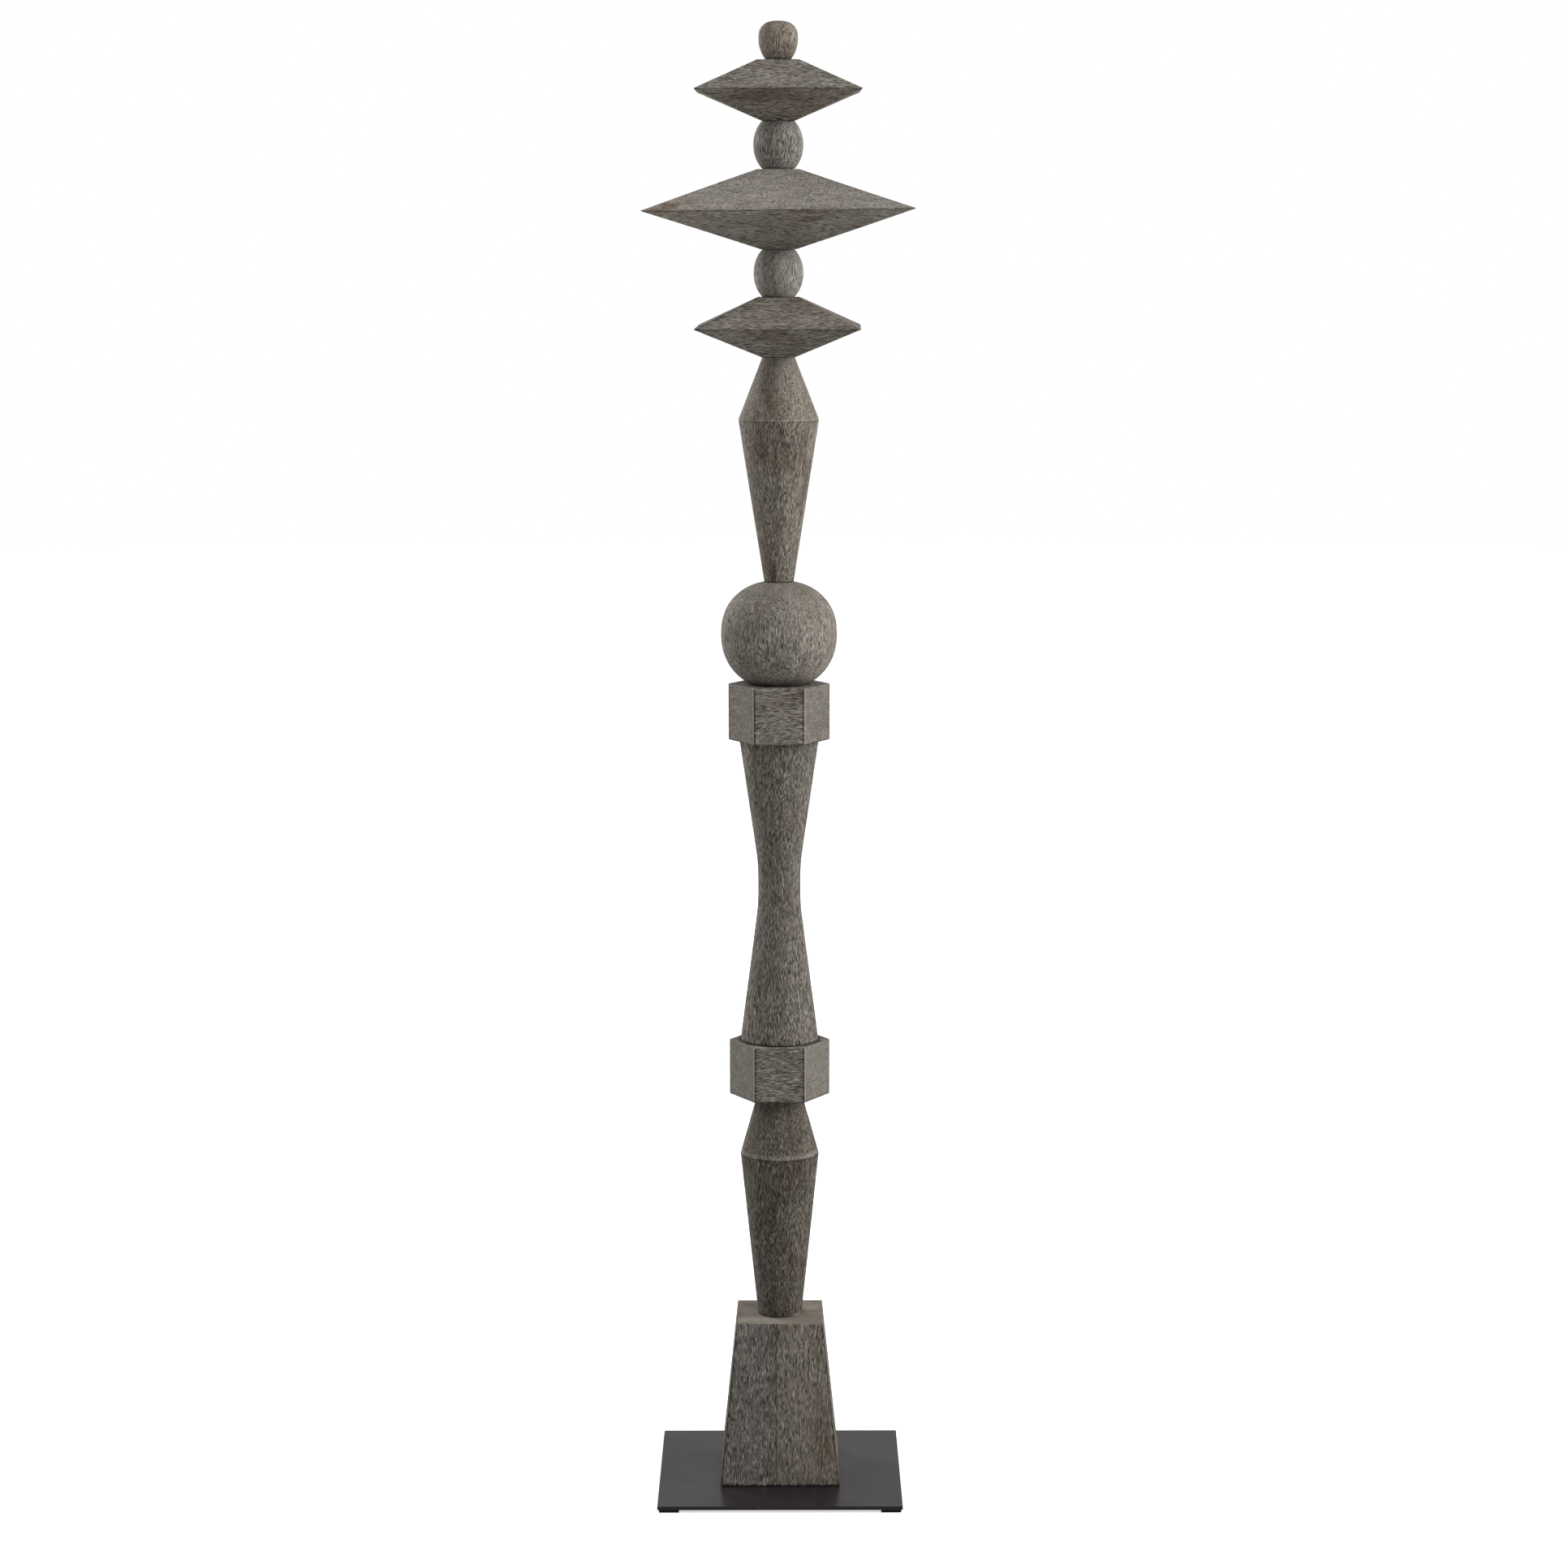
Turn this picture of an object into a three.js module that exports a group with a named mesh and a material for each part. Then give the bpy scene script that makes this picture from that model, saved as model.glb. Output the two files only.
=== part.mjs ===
// A tall decorative totem pole: thirteen turned, faceted and tapered wooden pieces stacked on one axis,
// on a square steel plate with four rubber feet.
// Units are millimetres, +Z is up and -Y is the front.
// The origin is the middle of the feet's underside.
import * as THREE from "three";

// The glue line between two pieces that touch.
const JOINT_GAP = 0.3;

// Plate and feet.
const PLATE_WIDTH = 305;
const PLATE_THICKNESS = 4.8;
const FOOT_WIDTH = 25;
const FOOT_HEIGHT = 3.7;
const FOOT_INSET = 2;

// Tapered block, square in plan.
const BLOCK_HEIGHT = 204.7;
const BLOCK_BASE_WIDTH = 150;
const BLOCK_TOP_WIDTH = 108;

// Lower spindle: a long cone that widens upwards to a ring, and a short cone above it.
const LOWER_SPINDLE_FOOT_RADIUS = 27.6;
const LOWER_SPINDLE_RING_RADIUS = 49.1;
const LOWER_SPINDLE_TOP_RADIUS = 27.9;
const LOWER_SPINDLE_BODY_HEIGHT = 205.4;
const LOWER_SPINDLE_RING_HEIGHT = 3;
const LOWER_SPINDLE_CONE_HEIGHT = 75.2;

// Hexagonal collars. The width is across the corners, and one flat faces the front.
const COLLAR_WIDTH = 125.6;
const COLLAR_HEIGHT = 70.2;

// Waisted column: two cones that meet a straight waist in soft bends.
const COLUMN_FOOT_RADIUS = 48.8;
const COLUMN_TOP_RADIUS = 49.2;
const COLUMN_WAIST_RADIUS = 26.35;
const COLUMN_FOOT_CONE_HEIGHT = 172.7;
const COLUMN_WAIST_HEIGHT = 50.2;
const COLUMN_TOP_CONE_HEIGHT = 156.5;
const COLUMN_BEND_REACH = 16;

// Ball: a superellipse in section, with a narrow seat on top and a wide one below.
const BALL_RADIUS = 71.75;
const BALL_POWER = 2.2;
const BALL_UPPER_HEIGHT = 63.9;
const BALL_LOWER_HEIGHT = 62.4;
const BALL_TOP_SEAT_RADIUS = 18.7;
const BALL_BOTTOM_SEAT_RADIUS = 36.3;

// Upper spindle, slimmer at the foot than the lower one.
const UPPER_SPINDLE_FOOT_RADIUS = 18.2;
const UPPER_SPINDLE_RING_RADIUS = 49.1;
const UPPER_SPINDLE_TOP_RADIUS = 19.8;
const UPPER_SPINDLE_BODY_HEIGHT = 197.2;
const UPPER_SPINDLE_RING_HEIGHT = 3.5;
const UPPER_SPINDLE_CONE_HEIGHT = 75.2;

// Double pyramids, square in plan, with flat seats and a sharp ridge at half height.
const SMALL_PYRAMID_WIDTH = 201.4;
const SMALL_PYRAMID_HEIGHT = 72.4;
const SMALL_PYRAMID_TOP_WIDTH = 50.8;
const SMALL_PYRAMID_BOTTOM_WIDTH = 40.4;
const LARGE_PYRAMID_WIDTH = 326;
const LARGE_PYRAMID_HEIGHT = 96.4;
const LARGE_PYRAMID_TOP_WIDTH = 50.8;
const LARGE_PYRAMID_BOTTOM_WIDTH = 42.8;

// The lower small double pyramid sits slightly turned, clockwise from above.
const LOWER_PYRAMID_TURN_DEGREES = -0.8;

// Beads between the double pyramids.
const BEAD_RADIUS = 30.45;
const BEAD_HEIGHT = 57.7;
const BEAD_SEAT_RADIUS = 19.6;
const BEAD_POWER = 2;

// Finial: a small ball with a squarish dome, cut flat below.
const FINIAL_RADIUS = 24;
const FINIAL_DOME_HEIGHT = 20.5;
const FINIAL_DOME_POWER = 2.5;
const FINIAL_CUP_HEIGHT = 26;
const FINIAL_CUP_POWER = 2;
const FINIAL_SEAT_RADIUS = 15;

// Facets round a turned piece, and steps along one quarter of its curve.
const ROUND_SIDES = 48;
const CURVE_STEPS = 7;

// Finishes.
const STEEL = { color: 0x4a4648, roughness: 0.45, metalness: 0.7 };
const RUBBER = { color: 0x1a1a1b, roughness: 0.9, metalness: 0 };

// Weathered, wire-brushed wood in the given tone.
function wood(color) {
  return { color, roughness: 0.85, metalness: 0 };
}

// The solid of a section that goes round the vertical axis.
// The outline lists [radius, height] upwards, and the axis closes it above and below.
function lathed(outline, sides = ROUND_SIDES, firstCorner = 0) {
  const first = outline[0];
  const last = outline[outline.length - 1];
  const closed = [[0, first[1]], ...outline, [0, last[1]]];
  const section = closed.map(([radius, height]) => new THREE.Vector2(radius, height));
  return new THREE.LatheGeometry(section, sides, firstCorner).rotateX(Math.PI / 2);
}

// A solid that is square in plan, from [half width, height] pairs.
function squared(outline) {
  const corners = outline.map(([half, height]) => [half * Math.SQRT2, height]);
  return lathed(corners, 4, Math.PI / 4);
}

// One quarter of a superellipse, from its widest point to a seat.
// It returns [radius, distance] pairs, measured from the widest level.
function swell(radius, height, seatRadius, power) {
  const reach = height / (1 - (seatRadius / radius) ** power) ** (1 / power);
  const lastAngle = Math.acos((seatRadius / radius) ** (power / 2));
  const steps = Array.from({ length: CURVE_STEPS + 1 }, (_, i) => (lastAngle * i) / CURVE_STEPS);
  return steps.map((angle) => [
    radius * Math.cos(angle) ** (2 / power),
    reach * Math.sin(angle) ** (2 / power),
  ]);
}

// A bulging piece: one quarter curve below its widest level and one above.
function bulge(lower, upper) {
  const widest = lower.height;
  const below = swell(lower.radius, lower.height, lower.seat, lower.power)
    .map(([radius, distance]) => [radius, widest - distance])
    .reverse();
  const above = swell(upper.radius, upper.height, upper.seat, upper.power)
    .map(([radius, distance]) => [radius, widest + distance])
    .slice(1);
  return [...below, ...above];
}

function block() {
  const outline = [
    [BLOCK_BASE_WIDTH / 2, 0],
    [BLOCK_TOP_WIDTH / 2, BLOCK_HEIGHT],
  ];
  return { shape: squared(outline), height: BLOCK_HEIGHT };
}

function spindle(foot, ring, top, bodyHeight, ringHeight, coneHeight) {
  const height = bodyHeight + ringHeight + coneHeight;
  const outline = [
    [foot, 0],
    [ring, bodyHeight],
    [ring, bodyHeight + ringHeight],
    [top, height],
  ];
  return { shape: lathed(outline), height };
}

function lowerSpindle() {
  return spindle(
    LOWER_SPINDLE_FOOT_RADIUS,
    LOWER_SPINDLE_RING_RADIUS,
    LOWER_SPINDLE_TOP_RADIUS,
    LOWER_SPINDLE_BODY_HEIGHT,
    LOWER_SPINDLE_RING_HEIGHT,
    LOWER_SPINDLE_CONE_HEIGHT,
  );
}

function upperSpindle() {
  return spindle(
    UPPER_SPINDLE_FOOT_RADIUS,
    UPPER_SPINDLE_RING_RADIUS,
    UPPER_SPINDLE_TOP_RADIUS,
    UPPER_SPINDLE_BODY_HEIGHT,
    UPPER_SPINDLE_RING_HEIGHT,
    UPPER_SPINDLE_CONE_HEIGHT,
  );
}

function collar() {
  const sides = 6;
  const outline = [
    [COLLAR_WIDTH / 2, 0],
    [COLLAR_WIDTH / 2, COLLAR_HEIGHT],
  ];
  return { shape: lathed(outline, sides, Math.PI / sides), height: COLLAR_HEIGHT };
}

// The points of a soft bend that rounds off the corner between two straight lines.
function bend(before, corner, after, reach) {
  const [from, middle, to] = [before, corner, after].map(([x, y]) => new THREE.Vector2(x, y));
  const start = from.clone().sub(middle).setLength(reach).add(middle);
  const end = to.clone().sub(middle).setLength(reach).add(middle);
  const curve = new THREE.QuadraticBezierCurve(start, middle, end);
  return curve.getPoints(CURVE_STEPS).map((point) => [point.x, point.y]);
}

function column() {
  const waistTop = COLUMN_FOOT_CONE_HEIGHT + COLUMN_WAIST_HEIGHT;
  const height = waistTop + COLUMN_TOP_CONE_HEIGHT;
  const foot = [COLUMN_FOOT_RADIUS, 0];
  const lowerCorner = [COLUMN_WAIST_RADIUS, COLUMN_FOOT_CONE_HEIGHT];
  const upperCorner = [COLUMN_WAIST_RADIUS, waistTop];
  const top = [COLUMN_TOP_RADIUS, height];
  const outline = [
    foot,
    ...bend(foot, lowerCorner, upperCorner, COLUMN_BEND_REACH),
    ...bend(lowerCorner, upperCorner, top, COLUMN_BEND_REACH),
    top,
  ];
  return { shape: lathed(outline), height };
}

function ball() {
  const shared = { radius: BALL_RADIUS, power: BALL_POWER };
  const lower = { ...shared, height: BALL_LOWER_HEIGHT, seat: BALL_BOTTOM_SEAT_RADIUS };
  const upper = { ...shared, height: BALL_UPPER_HEIGHT, seat: BALL_TOP_SEAT_RADIUS };
  return { shape: lathed(bulge(lower, upper)), height: BALL_LOWER_HEIGHT + BALL_UPPER_HEIGHT };
}

function bead() {
  const half = {
    radius: BEAD_RADIUS,
    height: BEAD_HEIGHT / 2,
    seat: BEAD_SEAT_RADIUS,
    power: BEAD_POWER,
  };
  return { shape: lathed(bulge(half, half)), height: BEAD_HEIGHT };
}

function finial() {
  const cup = {
    radius: FINIAL_RADIUS,
    height: FINIAL_CUP_HEIGHT,
    seat: FINIAL_SEAT_RADIUS,
    power: FINIAL_CUP_POWER,
  };
  const dome = {
    radius: FINIAL_RADIUS,
    height: FINIAL_DOME_HEIGHT,
    seat: 0,
    power: FINIAL_DOME_POWER,
  };
  // The dome ends on the axis, so its last point is the one that closes the section.
  const outline = bulge(cup, dome).slice(0, -1);
  const height = FINIAL_CUP_HEIGHT + FINIAL_DOME_HEIGHT;
  return { shape: lathed([...outline, [0, height]]), height };
}

function doublePyramid(width, height, topWidth, bottomWidth) {
  const outline = [
    [bottomWidth / 2, 0],
    [width / 2, height / 2],
    [topWidth / 2, height],
  ];
  return { shape: squared(outline), height };
}

function smallPyramid() {
  return doublePyramid(
    SMALL_PYRAMID_WIDTH,
    SMALL_PYRAMID_HEIGHT,
    SMALL_PYRAMID_TOP_WIDTH,
    SMALL_PYRAMID_BOTTOM_WIDTH,
  );
}

function largePyramid() {
  return doublePyramid(
    LARGE_PYRAMID_WIDTH,
    LARGE_PYRAMID_HEIGHT,
    LARGE_PYRAMID_TOP_WIDTH,
    LARGE_PYRAMID_BOTTOM_WIDTH,
  );
}

function part(name, shape, finish) {
  const mesh = new THREE.Mesh(shape, new THREE.MeshStandardMaterial(finish));
  mesh.name = name;
  return mesh;
}

const pole = new THREE.Group();

// Four feet under the plate's corners.
const footOffset = PLATE_WIDTH / 2 - FOOT_INSET - FOOT_WIDTH / 2;
const corners = [
  ["foot_front_left", -1, -1],
  ["foot_front_right", 1, -1],
  ["foot_back_right", 1, 1],
  ["foot_back_left", -1, 1],
];
for (const [name, x, y] of corners) {
  const foot = part(name, new THREE.BoxGeometry(FOOT_WIDTH, FOOT_WIDTH, FOOT_HEIGHT), RUBBER);
  foot.position.set(x * footOffset, y * footOffset, FOOT_HEIGHT / 2);
  pole.add(foot);
}

const plateBottom = FOOT_HEIGHT + JOINT_GAP;
const plate = part(
  "base_plate",
  new THREE.BoxGeometry(PLATE_WIDTH, PLATE_WIDTH, PLATE_THICKNESS),
  STEEL,
);
plate.position.z = plateBottom + PLATE_THICKNESS / 2;
pole.add(plate);

// The wooden pieces, from the plate up, each standing on the one before.
const stack = [
  ["tapered_block", block(), wood(0x5a5652)],
  ["lower_spindle", lowerSpindle(), wood(0x4c4741)],
  ["lower_collar", collar(), wood(0x625e59)],
  ["waisted_column", column(), wood(0x5e5a55)],
  ["upper_collar", collar(), wood(0x6a655f)],
  ["ball", ball(), wood(0x716c66)],
  ["upper_spindle", upperSpindle(), wood(0x665f57)],
  ["lower_small_pyramid", smallPyramid(), wood(0x605b56)],
  ["lower_bead", bead(), wood(0x6b6760)],
  ["large_pyramid", largePyramid(), wood(0x6f6a64)],
  ["upper_bead", bead(), wood(0x67635e)],
  ["upper_small_pyramid", smallPyramid(), wood(0x645f5a)],
  ["finial", finial(), wood(0x706860)],
];
let level = plateBottom + PLATE_THICKNESS;
for (const [name, { shape, height }, finish] of stack) {
  const piece = part(name, shape, finish);
  level += JOINT_GAP;
  piece.position.z = level;
  level += height;
  pole.add(piece);
}
const turned = pole.getObjectByName("lower_small_pyramid");
turned.rotation.z = THREE.MathUtils.degToRad(LOWER_PYRAMID_TURN_DEGREES);

export default pole;
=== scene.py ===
"""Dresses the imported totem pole: wire-brushed, limed oak on a coated steel plate, in a pale studio."""

import math

import bmesh
import bpy
import numpy as np
from mathutils import Matrix, Vector


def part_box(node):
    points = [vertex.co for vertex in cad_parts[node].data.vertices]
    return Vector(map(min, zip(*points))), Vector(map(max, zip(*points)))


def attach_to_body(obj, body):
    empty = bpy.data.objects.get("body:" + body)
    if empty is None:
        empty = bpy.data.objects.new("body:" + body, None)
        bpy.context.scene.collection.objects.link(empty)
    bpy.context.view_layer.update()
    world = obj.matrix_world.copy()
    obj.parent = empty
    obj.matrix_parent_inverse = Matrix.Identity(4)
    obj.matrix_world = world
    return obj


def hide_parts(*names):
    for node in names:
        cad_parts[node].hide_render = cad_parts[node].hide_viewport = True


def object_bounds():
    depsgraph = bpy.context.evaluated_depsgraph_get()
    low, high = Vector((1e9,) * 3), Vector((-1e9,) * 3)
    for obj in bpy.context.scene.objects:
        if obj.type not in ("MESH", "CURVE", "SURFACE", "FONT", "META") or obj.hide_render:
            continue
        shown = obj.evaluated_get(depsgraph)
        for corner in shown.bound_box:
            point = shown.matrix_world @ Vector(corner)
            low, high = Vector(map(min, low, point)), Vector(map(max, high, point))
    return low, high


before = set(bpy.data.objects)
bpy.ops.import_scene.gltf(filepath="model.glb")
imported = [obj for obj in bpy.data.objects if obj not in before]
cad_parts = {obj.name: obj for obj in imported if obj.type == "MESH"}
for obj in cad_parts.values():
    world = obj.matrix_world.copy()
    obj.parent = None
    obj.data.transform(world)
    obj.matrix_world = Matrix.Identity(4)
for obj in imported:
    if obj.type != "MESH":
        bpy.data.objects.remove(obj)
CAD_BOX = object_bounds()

bl_info = {
    "name": "Totem pole",
    "version": (1, 0, 0),
    "blender": (4, 5, 0),
    "location": "View3D > Sidebar > Totem",
    "description": "Builds the brushed wood, plate and feet of a stacked totem pole around its CAD model",
    "category": "Add Mesh",
}

MM = 0.001
BODY = "root"

# Grain runs up turned pieces and the block, and across the collars and double pyramids.
UPRIGHT = (0, 1, 2)
LEVEL = (1, 2, 0)

# How each wooden piece is made: its sides, none where it is turned, its grain and the seed of its figure.
# Tone lightens or darkens the whole piece, and warmth is how brown it is.
# Edge is how far its edges are worn pale, and crisp a share of the usual rounding, for edges cut sharp.
PIECES = {
    "tapered_block": dict(sides=4, grain=UPRIGHT, seed=11, tone=-0.1, warmth=0.35, edge=0.0),
    "lower_spindle": dict(sides=0, grain=UPRIGHT, seed=12, tone=-0.33, warmth=0.6, edge=0.35),
    "lower_collar": dict(sides=6, grain=LEVEL, seed=13, tone=-0.04, warmth=0.3, edge=0.4),
    "waisted_column": dict(sides=0, grain=UPRIGHT, seed=14, tone=-0.16, warmth=0.35, edge=0.3),
    "upper_collar": dict(sides=6, grain=LEVEL, seed=15, tone=-0.06, warmth=0.4, edge=0.4),
    "ball": dict(sides=0, grain=UPRIGHT, seed=16, tone=0.03, warmth=0.35, edge=0.3),
    "upper_spindle": dict(sides=0, grain=UPRIGHT, seed=17, tone=-0.06, warmth=0.6, edge=0.6),
    "lower_small_pyramid": dict(sides=4, grain=LEVEL, seed=18, tone=0.02, warmth=0.4, edge=0.0, crisp=0.35),
    "lower_bead": dict(sides=0, grain=UPRIGHT, seed=19, tone=0.15, warmth=0.1, edge=0.3),
    "large_pyramid": dict(sides=4, grain=LEVEL, seed=20, tone=0.1, warmth=0.2, edge=0.0, crisp=0.35),
    "upper_bead": dict(sides=0, grain=UPRIGHT, seed=21, tone=0.03, warmth=0.05, edge=0.3),
    "upper_small_pyramid": dict(sides=4, grain=LEVEL, seed=22, tone=0.03, warmth=0.35, edge=0.0, crisp=0.35),
    "finial": dict(sides=0, grain=UPRIGHT, seed=23, tone=0.08, warmth=0.7, edge=0.3),
}

# Beside a rounded edge the mesh is finer, so that the thin lines of wear, dirt and painted shade there stay
# crisp.
EDGE_LINES = (0.5 * MM, 1.0 * MM, 1.6 * MM, 2.4 * MM)
# A rounded corner's points: turns from its middle, in a section, and shares of its curve, in an outline.
CORNER_TURNS = (-1.0, -0.33, 0.33, 1.0)
CURVE_SHARES = (0, 0.33, 0.67, 1)
# A gentler turn than the first is left alone, and only a sharper one than the second wears.
SMOOTH_TURN = math.radians(3)
WORN_TURN = math.radians(15)
# No curve or line reaches further than this share of the stretch that it lies on.
LONGEST_SHARE = 0.45
# How many points a bulging outline gets for each of the CAD outline's.
BULGE_POINTS = 3
# The mesh across level grain may be this much coarser than across upright grain.
LEVEL_COARSENESS = 1.4
# A last level that is narrower than this closes an outline on the axis.
ON_AXIS = 0.001 * MM
# The brushing is worked out as if no point were nearer to the axis than this.
HUB_RADIUS = 1 * MM

# The cells in which the grain wanders, and how far it wanders.
SWAY_CELL = (50 * MM, 50 * MM, 90 * MM)
SWELL_CELL = (40 * MM, 40 * MM, 70 * MM)
WRIGGLE_CELL = (6 * MM, 6 * MM, 9 * MM)
RING_CELL = (30 * MM, 30 * MM, 120 * MM)
BITE_CELL = (30 * MM, 30 * MM, 50 * MM)
SWAY = 3.0 * MM
WRIGGLE = 1.2 * MM
# Each piece lies at its own place in the grain, in metres, so that no two show the same figure.
PIECE_SHIFT = np.array([0.31, 0.17, 0.05])
PIECE_PLACES = 17
PITH = np.array([0.09, -0.05])

# Wear along edges, and the painted shade along each piece's lower edge.
WORN_WIDTH = 0.9 * MM
FOOT_SHADE = 1.2 * MM

# The block is glued up from two staves, with the joint left of the middle and a darker band left of that.
# The shift gives each stave its own part of the figure.
STAVE_JOINT = -4.6 * MM
STAVE_SHIFT = 30 * MM
JOINT_WIDTH = 0.9 * MM
BAND_OFFSET = 6 * MM
BAND_WIDTH = 5 * MM
SAWN_CORNER = 1.6 * MM
# A brown stain grows from here towards the right of its front.
STAIN_START = 30 * MM
STAIN_REACH = 30 * MM
# Nicks along its foot.
NICK_HEIGHT = 1.8 * MM
NICK_DEPTH = 0.9 * MM
NICK_CELL = (2.2 * MM, 2.2 * MM, 9 * MM)
NICK_SEED = 71

# Lines beside a collar's corners, as their distance from the corner and their width.
CORNER_DIRT_AT = 1.1 * MM
CORNER_DIRT_WIDTH = 0.8 * MM
CORNER_WEAR_AT = 0.9 * MM
CORNER_WEAR_WIDTH = 0.9 * MM
END_CORNER_WIDTH = 1.4 * MM
# How wide the painted shade is round the foot of the piece that stands on a collar.
SEAT_SHADE_WIDTH = 2.4 * MM
# The heart in the upper collar's front, and the grain that arches over it.
HEART_AT = 14 * MM
HEART_WIDTH = 30 * MM
HEART_HEIGHT = 22 * MM
ARCH_RISE = 10 * MM

# Each spindle's ring has a pale worn line and a thin dark one. Their heights are from the ring's edge,
# and dark is how strong the dark one is.
SPINDLE_RINGS = {
    "lower_spindle": dict(pale_at=2.6 * MM, pale_width=2.0 * MM, dark_at=-0.9 * MM, dark=0.5),
    "upper_spindle": dict(pale_at=-0.3 * MM, pale_width=0.9 * MM, dark_at=-2.2 * MM, dark=0.15),
}
RING_WEAR_WIDTH = 3 * MM
RING_DARK_WIDTH = 0.8 * MM
# Specks of dried glue at the right of the lower spindle's foot.
GLUE_AT = 21 * MM
GLUE_WIDTH = 6 * MM
GLUE_LEVEL = 1 * MM
GLUE_HEIGHT = 1.6 * MM
GLUE_CELL = (1.3 * MM, 1.3 * MM, 1.3 * MM)
GLUE_SEED = 91

# Each double pyramid's tones above and below its ridge, and how far the ridge rises to the right.
# The large one was cut a little out of true.
PYRAMID_FACES = {
    "lower_small_pyramid": dict(above=0.02, below=-0.16, rise=0.0),
    "upper_small_pyramid": dict(above=-0.03, below=0.16, rise=0.0),
    "large_pyramid": dict(above=0.13, below=-0.03, rise=1.45 * MM),
}
# A line of painted shade just under each ridge: how far below the ridge it lies, and how wide it is.
RIDGE_SHADE_DROP = 0.5 * MM
RIDGE_SHADE_WIDTH = 0.7 * MM
PYRAMID_CORNER = 1.5 * MM
# The large one's warm left end, its brown patch under the ridge, and its glue joints.
WARM_END_START = 90 * MM
WARM_END_REACH = 50 * MM
PATCH_AT = 35 * MM
PATCH_WIDTH = 22 * MM
PATCH_DROP = 8 * MM
PATCH_HEIGHT = 9 * MM
LOWER_JOINT = -20 * MM
UPPER_JOINT = 22 * MM

# The softboxes: where each stands, its width and height, in metres, and which power it has.
SOFTBOXES = {
    "key_right": ((4.5, -0.8, 2.75), (2.2, 2.6), "key_light"),
    "rim_left": ((-3.8, 2.7, 2.75), (2.2, 2.6), "rim_light"),
    "front_high": ((0, -4.7, 4.6), (4.0, 3.0), "front_light"),
}
# The width of the camera's sensor, in millimetres.
SENSOR_WIDTH = 36
WHITE = (1, 1, 1, 1)


def linear(hex_colour):
    """A colour written as sRGB hex, as the linear RGBA that shaders take."""
    channels = [int(hex_colour[i:i + 2], 16) / 255 for i in (1, 3, 5)]
    return tuple(c / 12.92 if c <= 0.04045 else ((c + 0.055) / 1.055) ** 2.4 for c in channels) + (1.0,)


def length(name, description, default):
    """A size in metres that a user can change."""
    return bpy.props.FloatProperty(
        name=name, description=description, default=default, unit="LENGTH", precision=5
    )


def number(name, description, default):
    """A plain number that a user can change."""
    return bpy.props.FloatProperty(name=name, description=description, default=default)


def angle(name, description, degrees):
    """An angle that a user can change, written in degrees."""
    return bpy.props.FloatProperty(
        name=name, description=description, default=math.radians(degrees), subtype="ANGLE"
    )


def colour(name, description, default):
    """A colour that a user can change, written as sRGB hex."""
    return bpy.props.FloatVectorProperty(
        name=name, description=description, default=linear(default), size=4, min=0, max=1, subtype="COLOR"
    )


class TotemWood(bpy.types.PropertyGroup):
    """Sizes and colours of the brushed wood."""

    groove_depth: length("Groove depth", "Depth of the brushed grooves", 0.2 * MM)
    groove_width: length("Groove width", "Width of one brushed groove", 1.7 * MM)
    groove_length: length("Groove length", "Length of one groove along the grain", 9 * MM)
    ring_spacing: length("Ring spacing", "Distance between growth rings", 5 * MM)
    edge_radius: length("Edge radius", "Rounding of worn edges", 0.9 * MM)
    column_step: length("Step across the grain", "Mesh spacing across the grain", 1.1 * MM)
    row_step: length("Step along the grain", "Mesh spacing along the grain", 4.4 * MM)
    dark: colour("Groove colour", "Dirt and shade in the grooves", "#2a2724")
    middle: colour("Wood colour", "Weathered face of the wood", "#6e6a64")
    light: colour("Lime colour", "Lime left on the raised grain", "#a7a29b")
    brown: colour("Brown colour", "Bare brown heartwood", "#654f3e")
    oil: colour("Oil colour", "Tint of the oil in the warmer pieces", "#fff7e9")


class TotemPlate(bpy.types.PropertyGroup):
    """Sizes and colours of the steel plate and its feet."""

    edge_radius: length("Plate edge radius", "Rounding of the plate's cut edges", 0.6 * MM)
    foot_radius: length("Foot edge radius", "Rounding of the feet's edges", 0.8 * MM)
    coat: colour("Coat colour", "Dark bronze powder coat", "#1f191c")
    dust: colour("Dust colour", "Specks of dust on the plate", "#a29e9a")
    rubber: colour("Rubber colour", "Black rubber of the feet", "#0c0c0d")


class TotemStage(bpy.types.PropertyGroup):
    """The camera, the lights and the floor."""

    distance: length("Camera distance", "From the pole's axis to the camera", 4.8293)
    height: length("Camera height", "Height of the camera over the floor", 1.6138)
    side: length("Camera side", "How far right of the axis the camera stands", 0.006)
    lens: number("Lens", "Focal length in millimetres", 90.02)
    tilt: angle("Tilt", "How far the camera looks down", 8.5)
    roll: angle("Roll", "How far the camera leans to the right", 0.07)
    room_light: number("Room light", "Even light from all sides", 0.5)
    key_light: number("Key light", "Softbox on the right, in watts", 250)
    rim_light: number("Rim light", "Softbox behind left, in watts", 200)
    front_light: number("Front light", "Softbox high in front, in watts", 64)
    floor_glow: number("Floor glow", "Light that the floor gives off", 0.62)
    floor_radius: length("Floor radius", "Radius of the pale floor", 14.0)


def lattice(x, y, z, seed):
    """A repeatable number from 0 to 1 for each point of a whole-numbered lattice.

    The large numbers only scramble the bits.
    """
    mixed = (x * 0x8DA6B343 ^ y * 0xD8163841 ^ z * 0xCB1AB31F ^ seed * 0x9E3779B1) & 0xFFFFFFFF
    mixed = (mixed ^ (mixed >> 15)) * 0x2C1B3C6D & 0xFFFFFFFF
    mixed = (mixed ^ (mixed >> 12)) * 0x297A2D39 & 0xFFFFFFFF
    return (mixed ^ (mixed >> 15)) / 0xFFFFFFFF


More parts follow.
